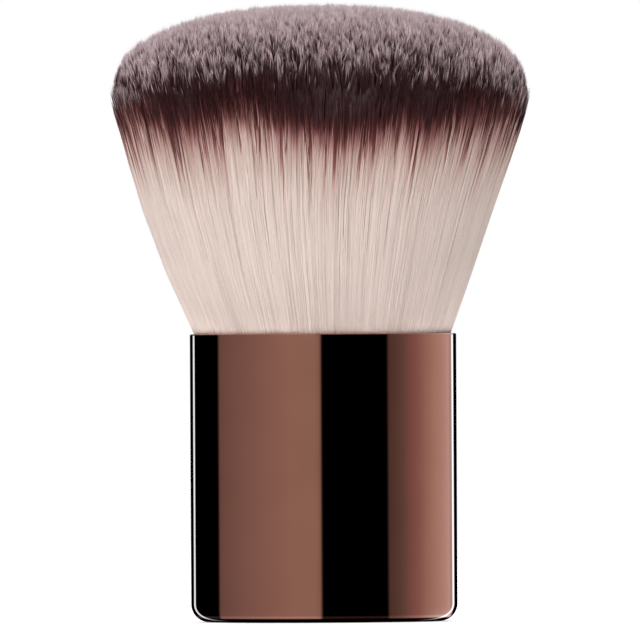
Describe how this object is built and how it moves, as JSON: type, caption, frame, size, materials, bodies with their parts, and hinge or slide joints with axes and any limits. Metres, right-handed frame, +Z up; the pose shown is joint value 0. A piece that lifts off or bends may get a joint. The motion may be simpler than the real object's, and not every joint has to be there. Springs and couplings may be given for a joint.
{
  "type": "powder brush",
  "caption": "Short kabuki powder brush with a domed, flaring head of three-tone synthetic hair on a cylindrical bronze metal handle that it stands on.",
  "frame": {"origin": "middle of the flat base that the brush stands on", "axes": "+Z up along the brush's axis from the base to the crown of the hair; the brush is round, so X and Y are free"},
  "size_m": [0.0562, 0.0562, 0.0835],
  "materials": {
    "bronze_metal": "polished",
    "rubber_pad": "matte",
    "plated_steel": "satin",
    "black_plastic": "satin",
    "plain_aluminium": "satin",
    "amber_epoxy": "gloss",
    "potted_root": "satin",
    "waxed_thread": "matte",
    "three_tone_hair": "matte"
  },
  "bodies": {
    "root": {"handle_shell": "bronze_metal", "weight_pad": "rubber_pad", "base_weight": "plated_steel", "pedestal": "black_plastic", "ferrule": "plain_aluminium", "epoxy_plug": "amber_epoxy", "knot_root": "potted_root", "binding_cord": "waxed_thread", "bristle_head": "three_tone_hair"}
  },
  "joints": []
}
